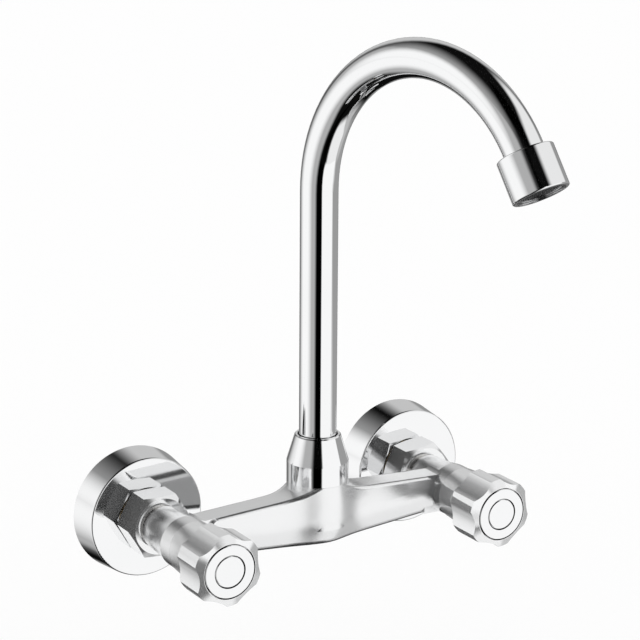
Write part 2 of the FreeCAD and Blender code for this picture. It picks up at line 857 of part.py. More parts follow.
def make_spindle_clip(side, name):
    """Open retaining ring in the stem's groove."""
    body = new_body(name + "spindle_clip")
    inner = dim.spindle_radius - dim.ring_wire + dim.running_gap
    front = clip_back + dim.clip_thickness

    def washer(sketch):
        draw_circle(sketch, 0, 0, dim.clip_radius)
        draw_circle(sketch, 0, 0, inner)

    extrude(body, "XY_Plane", clip_back + dim.running_gap / 2, front - dim.running_gap / 2, washer)
    cut(body, "XY_Plane", clip_back, front, box_of(dim.clip_radius, as_size(0), dim.clip_radius * 2, inner * 1.2))
    lay_down(body, side)


# ---------------------------------------------------------------- the knobs


def make_knob(side, name, turned):
    """Hollow die-cast knob: round skirt, six lobes, a sloping face and a recess for the cap."""
    body = new_body(name + "knob")
    revolve(body, [
        (0, skirt_back),
        (dim.skirt_radius, skirt_back, dim.skirt_curve, -1),
        (dim.skirt_flare_radius, lobe_back),
        (dim.lobe_radius - dim.lobe_back_round, lobe_back, dim.lobe_back_round, 1),
        (dim.lobe_radius, lobe_back + dim.lobe_back_round),
        (dim.lobe_radius, lobe_front),
        (dim.face_edge_radius, knob_front),
        (0, knob_front),
    ])
    away = dim.lobe_radius - dim.flute_depth + dim.flute_radius
    flute = cut(body, "XY_Plane", lobe_back, knob_front, circle_of(away, 0, dim.flute_radius))
    polar(body, flute, dim.lobe_count)
    recess = dim.cap_radius + dim.cap_gap
    cut(body, "XY_Plane", cap_back - dim.running_gap, knob_front, circle_of(0, 0, recess))
    hollow = dim.knob_hollow_radius
    hub_back = spline_back + dim.hub_gap
    revolve(body, [(0, skirt_back), (hollow, skirt_back), (hollow, web_back), (dim.hub_radius, web_back),
                   (dim.hub_radius, hub_back), (0, hub_back)], "Groove")
    hole = dim.spindle_radius - dim.spline_depth + dim.running_gap
    slot = cut(body, "XY_Plane", hub_back, cap_back, spline_tooth(hole, dim.spindle_radius + dim.running_gap))
    polar(body, slot, dim.spline_teeth)
    cut(body, "XY_Plane", hub_back, cap_back, circle_of(0, 0, hole))
    cut(body, "XY_Plane", screw_seat, cap_back, circle_of(0, 0, dim.screw_hole_radius))
    lay_down(body, side, turned)


def make_knob_screw(side, name):
    body = new_body(name + "knob_screw")
    head_top = screw_seat + dim.screw_head_height
    tip = spindle_end - dim.screw_length + dim.running_gap
    revolve(body, [(0, tip), (dim.screw_radius, tip), (dim.screw_radius, screw_seat),
                   (dim.screw_head_radius, screw_seat), (dim.screw_head_radius, head_top), (0, head_top)])
    slot, slot_width = dim.screw_radius * 2, dim.screw_radius / 3
    for across in ((slot, slot_width), (slot_width, slot)):
        cut(body, "XY_Plane", screw_seat + dim.screw_head_height / 3, head_top,
            box_of(as_size(0), as_size(0), *across))
    lay_down(body, side)


def make_knob_cap(side, name):
    """Disc that covers the screw, with a recess for the button."""
    body = new_body(name + "knob_cap")
    button = dim.button_radius + dim.cap_gap
    floor = cap_front - dim.button_thickness
    plug = dim.screw_hole_radius - dim.cap_gap
    plug_back = cap_back - dim.screw_head_height / 2
    revolve(body, [
        (0, cap_back),
        (plug - dim.cap_gap * 2, cap_back),
        (plug - dim.cap_gap * 2, plug_back),
        (plug, plug_back),
        (plug, cap_back),
        (dim.cap_radius, cap_back),
        (dim.cap_radius, cap_front - dim.cap_gap),
        (dim.cap_radius - dim.cap_gap, cap_front),
        (button, cap_front),
        (button, floor),
        (0, floor),
    ])
    lay_down(body, side)


def make_index_button(side, name):
    body = new_body(name + "index_button")
    back = cap_front - dim.button_thickness
    revolve(body, [(0, back), (dim.button_radius, back), (dim.button_radius, cap_front - dim.cap_gap),
                   (dim.button_radius - dim.cap_gap, cap_front), (0, cap_front)])
    lay_down(body, side)


# ---------------------------------------------------------------- the spout


def stand_up(body):
    """Places a piece of the spout on the riser's axis, facing the way the spout points."""
    heading = FreeCAD.Rotation(Vector(0, 0, 1), -dim.spout_heading.value)
    place(body, 0, -dim.boss_depth, 0, heading)


def tube_ring(sketch):
    draw_circle(sketch, 0, 0, dim.tube_radius)
    draw_circle(sketch, 0, 0, dim.tube_radius - dim.tube_wall)


def make_spout_tube():
    """One bent tube: riser, gooseneck and the short straight end inside the aerator."""
    body = new_body("spout_tube")
    extrude(body, "XY_Plane", ferrule_foot, dim.riser_top, tube_ring)
    section = sketch_on(body, "XY_Plane", dim.riser_top)
    tube_ring(section)
    draw_axis(section, dim.bend_radius)
    bend = turn(body, "Revolution", section, "Axis0", dim.bend_angle)
    outlet_face = outlet_face_name(bend.Shape)
    end = body.newObject("PartDesign::Pad", "spout_tube_end")
    end.Profile = (bend, [outlet_face])
    end.Length = dim.outlet_straight.value
    bind(end, "Length", dim.outlet_straight)
    doc.recompute()
    stand_up(body)


def outlet_face_name(shape):
    """The flat ring at the end of the bend, found by its place."""
    spot = outlet_frame().Base
    flat = [(face.CenterOfMass.distanceToPoint(spot), f"Face{i}") for i, face in enumerate(shape.Faces, start=1)
            if isinstance(face.Surface, Part.Plane)]
    return min(flat)[1]


def outlet_frame():
    """Where the bend ends, in the spout's own frame, with +Z out of the outlet."""
    angle = math.radians(dim.bend_angle.value)
    bend = dim.bend_radius.value
    spot = Vector(bend - bend * math.cos(angle), 0, dim.riser_top.value + bend * math.sin(angle))
    return FreeCAD.Placement(spot, FreeCAD.Rotation(Vector(0, 1, 0), dim.bend_angle.value))


def hang_on_outlet(body):
    """Places a piece of the aerator, whose Z runs out of the outlet, at the end of the bend."""
    heading = FreeCAD.Placement(Vector(0, -dim.boss_depth.value, 0),
                                FreeCAD.Rotation(Vector(0, 0, 1), -dim.spout_heading.value))
    body.Placement = heading.multiply(outlet_frame())


def make_ferrule():
    """Bush brazed on the foot of the tube; it turns in the boss and its flange rests on the rim."""
    body = new_body("spout_ferrule")
    outer = dim.boss_bore_radius - dim.running_gap
    wire = dim.spout_ring_wire
    groove = outer - wire * 1.6
    points = [(dim.tube_radius, ferrule_foot), (outer, ferrule_foot)]
    for height in spout_ring_heights():
        low, high = height - wire, height + wire
        points += [(outer, low), (groove, low), (groove, high), (outer, high)]
    points += [(outer, boss_rim), (dim.ferrule_flange_radius, boss_rim),
               (dim.ferrule_flange_radius, ferrule_top), (dim.tube_radius, ferrule_top)]
    revolve(body, points)
    stand_up(body)


def spout_ring_heights():
    first = ferrule_foot + dim.spout_ring_inset
    return first, first + dim.spout_ring_pitch


def make_spout_rings():
    body = new_body("spout_o_rings")
    wire = dim.spout_ring_wire * 0.8
    first, second = spout_ring_heights()
    centre = dim.boss_bore_radius - dim.running_gap - wire
    ring_pair(body, centre, wire, first, second - first)
    stand_up(body)


def make_slip_washer():
    body = new_body("slip_washer")
    inner, outer = dim.swivel_nut_opening, dim.ferrule_flange_radius
    revolve(body, [(inner, ferrule_top), (outer, ferrule_top), (outer, nut_ceiling), (inner, nut_ceiling)])
    place(body, 0, -dim.boss_depth, 0)


def make_swivel_nut():
    """Cylindrical below, conical above, with a rounded rim round the tube."""
    body = new_body("swivel_nut")
    thread = dim.boss_thread_radius + dim.running_gap
    top, edge = swivel_nut_top, dim.swivel_nut_edge
    band_top = dim.boss_top + dim.swivel_nut_band
    revolve(body, [
        (thread, dim.boss_top),
        (dim.swivel_nut_radius, dim.boss_top),
        (dim.swivel_nut_radius, band_top),
        (dim.swivel_nut_top_radius, top - edge),
        (dim.swivel_nut_top_radius - edge, top),
        (dim.swivel_nut_opening + edge / 2, top),
        (dim.swivel_nut_opening, top - edge / 2),
        (dim.swivel_nut_opening, nut_ceiling),
        (thread, nut_ceiling),
    ])
    place(body, 0, -dim.boss_depth, 0)


# ---------------------------------------------------------------- the aerator

bush_end = dim.outlet_straight
washer_start = bush_end + dim.running_gap
cage_start = washer_start + dim.aerator_washer
cage_end = dim.collar_length - dim.collar_mouth_depth
cage_radius = dim.outlet_thread_radius - dim.running_gap * 2
cage_bore_radius = cage_radius - dim.aerator_cage_wall


def make_outlet_bush():
    """Threaded bush brazed on the outlet."""
    body = new_body("outlet_bush")
    start = dim.outlet_bush_start
    revolve(body, [(dim.tube_radius, start), (dim.outlet_thread_radius, start),
                   (dim.outlet_thread_radius, bush_end), (dim.tube_radius, bush_end)])
    hang_on_outlet(body)


def make_aerator_housing():
    """The plain collar at the end of the spout."""
    body = new_body("aerator_housing")
    edge = dim.collar_edge
    bore = dim.outlet_thread_radius + dim.running_gap
    neck = dim.tube_radius + dim.running_gap * 4
    revolve(body, [
        (neck, 0),
        (dim.collar_radius - edge, 0, edge, 1),
        (dim.collar_radius, edge),
        (dim.collar_radius, dim.collar_length - edge, edge, 1),
        (dim.collar_radius - edge, dim.collar_length),
        (dim.collar_mouth_radius, dim.collar_length),
        (dim.collar_mouth_radius, cage_end),
        (bore, cage_end),
        (bore, dim.collar_lip),
        (neck, dim.collar_lip),
    ])
    hang_on_outlet(body)


def make_aerator_washer():
    body = new_body("aerator_washer")
    inner = dim.tube_radius - dim.tube_wall
    revolve(body, [(inner, washer_start), (cage_radius, washer_start),
                   (cage_radius, cage_start), (inner, cage_start)])
    hang_on_outlet(body)


def make_aerator_cage():
    """Plastic insert: a sleeve with a ledge for the diffuser and one for the screen."""
    body = new_body("aerator_cage")
    ledge = cage_bore_radius - dim.aerator_cage_wall
    diffuser_end = cage_start + dim.diffuser_thickness
    screen_start = cage_end - dim.screen_thickness
    revolve(body, [
        (cage_bore_radius, cage_start),
        (cage_radius, cage_start),
        (cage_radius, cage_end),
        (cage_bore_radius, cage_end),
        (cage_bore_radius, screen_start),
        (ledge, screen_start),
        (ledge, diffuser_end),
        (cage_bore_radius, diffuser_end),
    ])
    hang_on_outlet(body)


def make_aerator_diffuser():
    """Plate with two rings of small holes."""
    body = new_body("aerator_diffuser")
    front = cage_start + dim.diffuser_thickness
    extrude(body, "XY_Plane", cage_start, front, circle_of(0, 0, cage_bore_radius))
    for share, count in ((0.35, 6), (0.68, 12)):
        hole = cut(body, "XY_Plane", cage_start, front,
                   circle_of(cage_bore_radius * share, 0, dim.diffuser_hole_radius))
        polar(body, hole, as_size(count))
    hang_on_outlet(body)


def make_aerator_screen():
    """Flat mesh: one round face with a square opening in each cell that lies wholly inside the rim."""
    radius = cage_bore_radius.value
    pitch, wire = dim.screen_pitch.value, dim.screen_wire.value
    base = (cage_end - dim.screen_thickness).value
    half = (pitch - wire) / 2
    rim = radius - wire * 2
    reach = int(radius / pitch) + 1
    holes = []
    for column in range(-reach, reach + 1):
        for line in range(-reach, reach + 1):
            x, y = column * pitch, line * pitch
            if math.hypot(abs(x) + half, abs(y) + half) < rim:
                corners = [Vector(x + i, y + j, base) for i, j in
                           ((-half, -half), (half, -half), (half, half), (-half, half))]
                holes.append(Part.makePolygon(corners + corners[:1]))
    disc = Part.Wire(Part.makeCircle(radius, Vector(0, 0, base)))
    face = Part.makeFace([disc] + holes, "Part::FaceMakerCheese")
    net = face.extrude(Vector(0, 0, dim.screen_thickness.value))
    screen = doc.addObject("Part::Feature", "aerator_screen")
    screen.Label = "aerator_screen"
    screen.Shape = net
    hang_on_outlet(screen)


# ---------------------------------------------------------------- build and write


def build():
    half_lobe = as_size(180) / dim.lobe_count
    for side, name, tilt, turned in ((-1, "left_", dim.nut_tilt_left, dim.lobe_turn_left - half_lobe),
                                     (1, "right_", dim.nut_tilt_right, dim.lobe_turn_right - half_lobe)):
        make_union(side, name)
        make_escutcheon(side, name)
        make_coupling_nut(side, name, tilt)
        make_inlet_washer(side, name)
        make_inlet_nipple(side, name)
        make_seat_seal(side, name)
        make_disc(side, name + "fixed_disc", fixed_disc_back)
        make_disc(side, name + "turning_disc", turning_disc_back)
        make_spindle(side, name, turned)
        make_spindle_rings(side, name)
        make_bonnet(side, name)
        make_bonnet_seal(side, name)
        make_spindle_clip(side, name)
        make_knob(side, name, turned)
        make_knob_screw(side, name)
        make_knob_cap(side, name)
        make_index_button(side, name)
    make_main_body()
    make_spout_tube()
    make_ferrule()
    make_spout_rings()
    make_slip_washer()
    make_swivel_nut()
    make_outlet_bush()
    make_aerator_housing()
    make_aerator_washer()
    make_aerator_cage()
    make_aerator_diffuser()
    make_aerator_screen()


def sub_parts():
    return [o for o in doc.Objects if o.TypeId in ("PartDesign::Body", "Part::Feature")]


def check():
    """Stops before anything is written if a feature failed or a sub-part's shape is not sound."""
    faults = [o.Name for o in doc.Objects if {"Invalid", "Error"} & set(o.State)]
    faults += [o.Label for o in sub_parts() if o.Shape.isNull() or not o.Shape.isValid()]
    if faults:
        raise RuntimeError("not sound: " + ", ".join(faults))


build()
doc.recompute()
check()
os.makedirs("parts", exist_ok=True)
for piece in sub_parts():
    piece.Shape.exportStep(f"parts/{piece.Label}.step")
    print(f"{piece.Label}: {len(piece.Shape.Solids)} solid(s), {piece.Shape.Volume:.1f} mm3")
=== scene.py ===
import json
import math

import bmesh
import bpy
from mathutils import Matrix, Vector


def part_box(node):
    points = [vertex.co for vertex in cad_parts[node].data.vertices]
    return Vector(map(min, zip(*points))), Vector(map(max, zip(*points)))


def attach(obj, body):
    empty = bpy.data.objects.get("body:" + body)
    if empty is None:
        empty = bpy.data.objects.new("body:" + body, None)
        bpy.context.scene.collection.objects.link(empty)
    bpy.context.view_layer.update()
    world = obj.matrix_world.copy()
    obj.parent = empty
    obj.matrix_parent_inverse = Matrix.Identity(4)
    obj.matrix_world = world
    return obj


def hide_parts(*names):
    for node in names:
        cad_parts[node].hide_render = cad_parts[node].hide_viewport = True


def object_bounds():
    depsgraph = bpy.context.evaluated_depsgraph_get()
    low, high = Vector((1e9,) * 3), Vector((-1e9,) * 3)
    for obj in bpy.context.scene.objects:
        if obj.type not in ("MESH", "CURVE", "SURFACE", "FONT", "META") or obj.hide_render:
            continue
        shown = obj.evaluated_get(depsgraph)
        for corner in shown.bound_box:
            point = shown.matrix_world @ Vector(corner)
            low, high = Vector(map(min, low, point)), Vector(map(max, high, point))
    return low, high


# Wall-mounted kitchen mixer in polished chrome, in a white studio with dark gaps that the metal mirrors.
# Metres, +Z up, the wall is the plane Y = 0 and the mixer stands out of it towards -Y.

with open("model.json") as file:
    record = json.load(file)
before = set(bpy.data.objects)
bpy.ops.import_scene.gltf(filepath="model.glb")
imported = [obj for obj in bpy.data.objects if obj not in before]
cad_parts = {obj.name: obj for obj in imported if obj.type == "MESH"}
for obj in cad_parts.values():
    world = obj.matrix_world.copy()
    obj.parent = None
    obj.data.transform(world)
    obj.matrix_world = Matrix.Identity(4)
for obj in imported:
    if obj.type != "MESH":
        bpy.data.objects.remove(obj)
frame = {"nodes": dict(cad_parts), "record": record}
cad_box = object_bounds()

# The camera, as fitted to the photograph. Angles in degrees, lens and sensor in millimetres.
CAMERA_AZIMUTH = -31.16
CAMERA_ELEVATION = 15.47
CAMERA_ROLL = 0.386
CAMERA_TARGET = Vector((-0.00506, -0.060, 0.09931))
CAMERA_DISTANCE = 1.0885
CAMERA_LENS = 130.5
CAMERA_SENSOR = 36.0
CAMERA_CLIP = (0.05, 50.0)

# The floor, and how far it lies below the mixer.
FLOOR_DROP = 0.16
FLOOR_SIZE = 40.0
FLOOR_GREY = 0.99
FLOOR_ROUGHNESS = 0.9

# The axes of the unions, nuts and knobs lie this far to each side of the middle.
INLET_X = 0.075


# ---------------------------------------------------------------- shader helpers

# Places of a colour mix's own sockets among those of all the kinds of mix.
MIX_FACTOR, MIX_ZERO, MIX_ONE, MIX_RESULT = 0, 6, 7, 2


def new_material(name, metallic=0.0):
    material = bpy.data.materials.new(name)
    material.use_nodes = True
    shader = material.node_tree.nodes["Principled BSDF"]
    shader.inputs["Metallic"].default_value = metallic
    return material, material.node_tree, shader


def add_node(tree, kind, **settings):
    """A new node; each setting is one of its sockets or else one of its properties."""
    node = tree.nodes.new(kind)
    for key, value in settings.items():
        if key in node.inputs:
            node.inputs[key].default_value = value
        else:
            setattr(node, key, value)
    return node


def feed(tree, socket, value):
    """Gives a socket a number or a colour, or the output of another node."""
    if isinstance(value, (int, float)):
        socket.default_value = value
    elif isinstance(value, tuple):
        socket.default_value = (*value, 1.0)
    else:
        tree.links.new(value, socket)


def math_node(tree, operation, first, second=None):
    node = add_node(tree, "ShaderNodeMath", operation=operation)
    feed(tree, node.inputs[0], first)
    if second is not None:
        feed(tree, node.inputs[1], second)
    return node.outputs[0]


def split_glossy(tree, seen, mirrored):
    """One shader for what the camera and diffuse rays see, another for what the metal mirrors."""
    path = add_node(tree, "ShaderNodeLightPath")
    mix = add_node(tree, "ShaderNodeMixShader")
    tree.links.new(path.outputs["Is Glossy Ray"], mix.inputs["Fac"])
    tree.links.new(seen.outputs[0], mix.inputs[1])
    tree.links.new(mirrored.outputs[0], mix.inputs[2])
    return mix.outputs[0]


# ---------------------------------------------------------------- materials

CHROME_SPECULAR = 0.8
# Near-black painted shade for the walls of the knob's ring grooves, standing in for their shadow.
GROOVE_PAINTED_SHADE = (0.02, 0.02, 0.02)

# The two ring grooves in a knob's face: inner and outer radius of each, how far the painted shade reaches
# past their walls, how far behind the cap's front it starts, and how deep it goes.
GROOVES = ((0.0128, 0.0132), (0.00755, 0.00795))
GROOVE_EDGE = 0.00006
GROOVE_LIP = 0.00025
GROOVE_DEPTH = 0.003

# Pitch of the wave pattern's bands at scale 1.
WAVE_PITCH = 0.314


def noise(tree, scale, detail=3.0, roughness=0.5):
    place = add_node(tree, "ShaderNodeTexCoord").outputs["Object"]
    node = add_node(tree, "ShaderNodeTexNoise", Scale=scale, Detail=detail, Roughness=roughness)
    tree.links.new(place, node.inputs["Vector"])
    return node.outputs["Fac"]


def rings(tree, pitch):
    """Fine turning marks, as bands across the depth axis with a wandering edge."""
    place = add_node(tree, "ShaderNodeTexCoord").outputs["Object"]
    node = add_node(tree, "ShaderNodeTexWave", wave_type="BANDS", bands_direction="Y", wave_profile="SIN",
                    Scale=WAVE_PITCH / pitch, Distortion=1.2, Detail=2.0)
    node.inputs["Detail Scale"].default_value = 2.0
    tree.links.new(place, node.inputs["Vector"])
    return node.outputs["Fac"]


def graded(tree, pattern, at_zero, at_one):
    """A number between two, by a pattern from 0 to 1."""
    node = add_node(tree, "ShaderNodeMapRange")
    node.inputs["To Min"].default_value = at_zero
    node.inputs["To Max"].default_value = at_one
    tree.links.new(pattern, node.inputs["Value"])
    return node.outputs["Result"]


def tint(tree, pattern, at_zero, at_one):
    """A colour between two, by a pattern from 0 to 1."""
    node = add_node(tree, "ShaderNodeMix", data_type="RGBA")
    tree.links.new(pattern, node.inputs[MIX_FACTOR])
    feed(tree, node.inputs[MIX_ZERO], at_zero)
    feed(tree, node.inputs[MIX_ONE], at_one)
    return node.outputs[MIX_RESULT]


def surface(tree, shader, colour, gloss):
    tree.links.new(colour, shader.inputs["Base Color"])
    tree.links.new(gloss, shader.inputs["Roughness"])


def relief(tree, shader, pattern, depth):
    """Bump whose height is depth metres."""
    node = add_node(tree, "ShaderNodeBump", Strength=1.0, Distance=depth)
    tree.links.new(pattern, node.inputs["Height"])
    tree.links.new(node.outputs["Normal"], shader.inputs["Normal"])


def between(tree, value, low, high):
    """1 where a value lies between two others, else 0."""
    above = math_node(tree, "GREATER_THAN", value, low)
    return math_node(tree, "MULTIPLY", above, math_node(tree, "LESS_THAN", value, high))


def groove_shade_mask(tree, front):
    """1 on the walls of the two ring grooves in a knob's face, where shade is painted into the colour, else
    0.
    """
    parts = add_node(tree, "ShaderNodeSeparateXYZ")
    tree.links.new(add_node(tree, "ShaderNodeTexCoord").outputs["Object"], parts.inputs["Vector"])
    aside = math_node(tree, "SUBTRACT", math_node(tree, "ABSOLUTE", parts.outputs["X"]), INLET_X)
    aside = math_node(tree, "POWER", math_node(tree, "ABSOLUTE", aside), 2.0)
    above = math_node(tree, "POWER", math_node(tree, "ABSOLUTE", parts.outputs["Z"]), 2.0)
    radius = math_node(tree, "SQRT", math_node(tree, "ADD", aside, above))
    either = math_node(tree, "MAXIMUM", *(between(tree, radius, inner - GROOVE_EDGE, outer + GROOVE_EDGE)
                                          for inner, outer in GROOVES))
    deep = between(tree, parts.outputs["Y"], front, front + GROOVE_DEPTH)
    return math_node(tree, "MULTIPLY", either, deep)


def chrome(name, waviness, milkiness=0.0, gloss=(0.012, 0.055), groove_front=None):
    """Bright chrome plate: a near mirror over a base that is never quite flat, with faint wipe marks.

    Moulded and cast pieces are a little milky: their buffed skin scatters some light."""
    material, tree, shader = new_material(name, metallic=1.0 - milkiness)
    shader.inputs["Specular IOR Level"].default_value = CHROME_SPECULAR
    colour = tint(tree, noise(tree, scale=24.0), at_zero=(0.90, 0.905, 0.91), at_one=(0.95, 0.952, 0.955))
    # Painted shade: the groove walls are darkened in the colour, in place of the shadow in the gap.
    if groove_front is not None:
        colour = tint(tree, groove_shade_mask(tree, groove_front), at_zero=colour, at_one=GROOVE_PAINTED_SHADE)
    surface(tree, shader, colour, graded(tree, noise(tree, scale=190.0, detail=5.0, roughness=0.6), *gloss))
    relief(tree, shader, noise(tree, scale=38.0, detail=1.0), depth=waviness)
    return material


def brass():
    """Raw turned brass: fine rings, duller and browner in patches."""
    material, tree, shader = new_material("turned_brass", metallic=1.0)
    patches = noise(tree, scale=90.0, detail=4.0)
    surface(tree, shader,
            tint(tree, patches, at_zero=(0.62, 0.44, 0.20), at_one=(0.86, 0.68, 0.36)),
            graded(tree, patches, at_zero=0.42, at_one=0.22))
    relief(tree, shader, rings(tree, pitch=0.0004), depth=0.000012)
    return material


def nickel():
    """Plain nickel-plated brass, a little warmer and softer than the chrome."""
    material, tree, shader = new_material("nickel_plate", metallic=1.0)
    surface(tree, shader,
            tint(tree, noise(tree, scale=120.0), at_zero=(0.74, 0.72, 0.69), at_one=(0.84, 0.82, 0.79)),
            graded(tree, noise(tree, scale=260.0), at_zero=0.10, at_one=0.22))
    relief(tree, shader, rings(tree, pitch=0.0003), depth=0.000006)
    return material


def steel():
    """Stainless steel, drawn and slightly scuffed."""
    material, tree, shader = new_material("stainless_steel", metallic=1.0)
    surface(tree, shader,
            tint(tree, noise(tree, scale=700.0, detail=4.0),
                 at_zero=(0.40, 0.40, 0.41), at_one=(0.60, 0.61, 0.62)),
            graded(tree, noise(tree, scale=900.0, detail=2.0), at_zero=0.22, at_one=0.38))
    relief(tree, shader, noise(tree, scale=1500.0, detail=2.0), depth=0.000008)
    return material


def rubber():
    """Black moulded rubber with a bloom of grey and a fine grain."""
    material, tree, shader = new_material("black_rubber")
    surface(tree, shader,
            tint(tree, noise(tree, scale=300.0, detail=4.0),
                 at_zero=(0.018, 0.018, 0.019), at_one=(0.05, 0.05, 0.052)),
            graded(tree, noise(tree, scale=500.0), at_zero=0.55, at_one=0.75))
    relief(tree, shader, noise(tree, scale=3500.0, detail=2.0), depth=0.00002)
    return material


def ceramic():
    """Ground white alumina."""
    material, tree, shader = new_material("ground_ceramic")
    surface(tree, shader,
            tint(tree, noise(tree, scale=1200.0, detail=5.0),
                 at_zero=(0.80, 0.79, 0.76), at_one=(0.90, 0.89, 0.86)),
            graded(tree, noise(tree, scale=800.0), at_zero=0.12, at_one=0.25))
    return material


def nylon(name, light, dark):
    """Moulded nylon, slightly waxy."""
    material, tree, shader = new_material(name)
    surface(tree, shader,
            tint(tree, noise(tree, scale=150.0), at_zero=dark, at_one=light),
            graded(tree, noise(tree, scale=400.0), at_zero=0.35, at_one=0.5))
    relief(tree, shader, noise(tree, scale=2200.0, detail=2.0), depth=0.00001)
    return material


# ---------------------------------------------------------------- threaded unions

# How far the wall end's axis lies below the nut end's; the two threads; where the wall end, the neck and the
# nut end stop along Y; and the bores with the chamfer at their mouths.
UNION_DROP = 0.008
WALL_THREAD = dict(radius=0.0104775, pitch=0.001814, depth=0.00116)
NUT_THREAD = dict(radius=0.01322, pitch=0.001814, depth=0.00116)
WALL_END, NECK_END, UNION_END = 0.013, -0.0115, -0.024
WALL_BORE, NUT_BORE = 0.0075, 0.0085
CHAMFER = 0.0004

# The neck keeps this margin to both threads, has taken this share of the drop by then, and is this much
# thinner than the nut's thread.
NECK_MARGIN = 0.0003
NECK_MARGIN_SHARE = 0.026
NECK_INSET = 0.0001

# A thread's profile: how steep its flanks are and how wide its crest; how fast the grooves deepen from the
# thread's ends and what they start with; and how far the crest is below the nominal radius.
FLANK_SLOPE, FLANK_OFFSET = 1.3, 0.15
FADE_SLOPE, FADE_START = 1.2, 0.15
CREST_WEAR = 0.12

# Steps round the skin, rows to each turn of a thread, and the angle from which an edge is sharp.
AROUND = 96
PER_PITCH = 8
SHARP_ANGLE = math.radians(50)


def thread_radius(thread, depth, turn, start, end):
    """Radius of a rounded pipe thread at a place along its axis; the thread fades out at both ends."""
    phase = (depth / thread["pitch"] + turn) % 1.0
    flank = min(1.0, max(0.0, abs(2.0 * phase - 1.0) * FLANK_SLOPE - FLANK_OFFSET))
    near = min(abs(depth - start), abs(depth - end)) / thread["pitch"]
    fade = min(1.0, near * FADE_SLOPE + FADE_START)
    return thread["radius"] - thread["depth"] * (CREST_WEAR + (1.0 - CREST_WEAR) * flank) * fade


def union_rows():
    """(depth, height of the centre, radius at each step round) of the union's skin, outside then bore."""
    rows = []

    def threaded(thread, start, end, height):
        count = int(abs(end - start) / thread["pitch"] * PER_PITCH)
        for i in range(count + 1):
            depth = start + (end - start) * i / count
            rows.append((depth, height, [thread_radius(thread, depth, k / AROUND, start, end)
                                         for k in range(AROUND)]))

    def plain(depth, height, radius):
        rows.append((depth, height, [radius] * AROUND))

    plain(WALL_END, -UNION_DROP, WALL_BORE + CHAMFER)
    threaded(WALL_THREAD, WALL_END, 0.0, -UNION_DROP)
    plain(-NECK_MARGIN, -UNION_DROP * (1.0 - NECK_MARGIN_SHARE), WALL_THREAD["radius"])
    plain(NECK_END + NECK_MARGIN, -UNION_DROP * NECK_MARGIN_SHARE, NUT_THREAD["radius"] - NECK_INSET)
    threaded(NUT_THREAD, NECK_END, UNION_END, 0.0)
    plain(UNION_END, 0.0, NUT_BORE + CHAMFER)
    plain(UNION_END + CHAMFER, 0.0, NUT_BORE)
    plain(NECK_END, 0.0, NUT_BORE)
    plain(0.0, -UNION_DROP, WALL_BORE)
    plain(WALL_END - CHAMFER, -UNION_DROP, WALL_BORE)
    return rows


def threaded_union(side, material):
    """The eccentric union with its two pipe threads cut, in place of the plain solid."""
    name = ("left" if side < 0 else "right") + "_union"
    mesh = bmesh.new()
    skin = []
    for depth, height, radii in union_rows():
        ring = []
        for k, radius in enumerate(radii):
            turn = math.tau * k / AROUND
            ring.append(mesh.verts.new((side * INLET_X + radius * math.cos(turn), depth,
                                        height + radius * math.sin(turn))))
        skin.append(ring)
    for ring, following in zip(skin, skin[1:] + skin[:1]):
        for k in range(AROUND):
            after = (k + 1) % AROUND
            face = mesh.faces.new((ring[k], ring[after], following[after], following[k]))
            face.smooth = True
    bmesh.ops.recalc_face_normals(mesh, faces=mesh.faces)
    data = bpy.data.meshes.new(name + "_threads")
    mesh.to_mesh(data)
    mesh.free()
    data.set_sharp_from_angle(angle=SHARP_ANGLE)
    data.materials.append(material)
    piece = bpy.data.objects.new(name + "_threads", data)
    bpy.context.collection.objects.link(piece)
    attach(piece, "mixer")
    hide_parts(name)


# ---------------------------------------------------------------- studio

# What the metal mirrors: a dark studio with large soft panels. A patch is a rounded rectangle in degrees:
# azimuth (0 behind the camera, + to its right), elevation, half width, half height, how square its corners
# are and how much of it is blurred edge. A panel ends in its grey as it looks on screen, and where panels
# overlap, the brighter one counts. A shade darkens what lies under it. AMBIENT is the grey of the gaps.
PANELS = [
    (-80, -10, 68, 52, 6, 0.25, 0.70),
    (-84, 20, 80, 58, 3, 0.80, 0.66),
    (56, -8, 42, 30, 6, 0.14, 1.00),
    (66, -40, 46, 34, 4, 0.30, 0.95),
    (104, -46, 50, 28, 3, 0.50, 0.74),
    (92, 34, 64, 30, 3, 0.40, 0.93),
    (122, -14, 42, 36, 4, 0.40, 0.62),
    (180, 20, 40, 28, 3, 0.60, 0.78),
    (180, -14, 36, 22, 3, 0.40, 0.58),
    (-88, -14, 72, 50, 2.5, 0.80, 1.00),
    (-90, 14, 58, 40, 2, 0.80, 1.00),
]
SHADES = [
    (0, 2, 14, 36, 6, 0.15),
    (3, -62, 11, 34, 6, 0.40),
    (8, 64, 44, 26, 3, 0.40),
]
AMBIENT = 0.05
HALF_TURN = 180.0


def linear(grey):
    """The light of a grey that is given as it looks on screen."""
    return grey / 12.92 if grey <= 0.04045 else ((grey + 0.055) / 1.055) ** 2.4


def make_camera():
    camera = bpy.data.objects.new("camera", bpy.data.cameras.new("camera"))
    azimuth, elevation = math.radians(CAMERA_AZIMUTH), math.radians(CAMERA_ELEVATION)
    back = Vector((math.sin(azimuth) * math.cos(elevation),
                   -math.cos(azimuth) * math.cos(elevation), math.sin(elevation)))
    turn = (-back).to_track_quat("-Z", "Y").to_matrix().to_4x4()
    roll = Matrix.Rotation(math.radians(CAMERA_ROLL), 4, "Z")
    camera.matrix_world = Matrix.Translation(CAMERA_TARGET + back * CAMERA_DISTANCE) @ turn @ roll
    camera.data.lens = CAMERA_LENS
    camera.data.sensor_width = CAMERA_SENSOR
    camera.data.clip_start, camera.data.clip_end = CAMERA_CLIP
    bpy.context.collection.objects.link(camera)
    bpy.context.scene.camera = camera


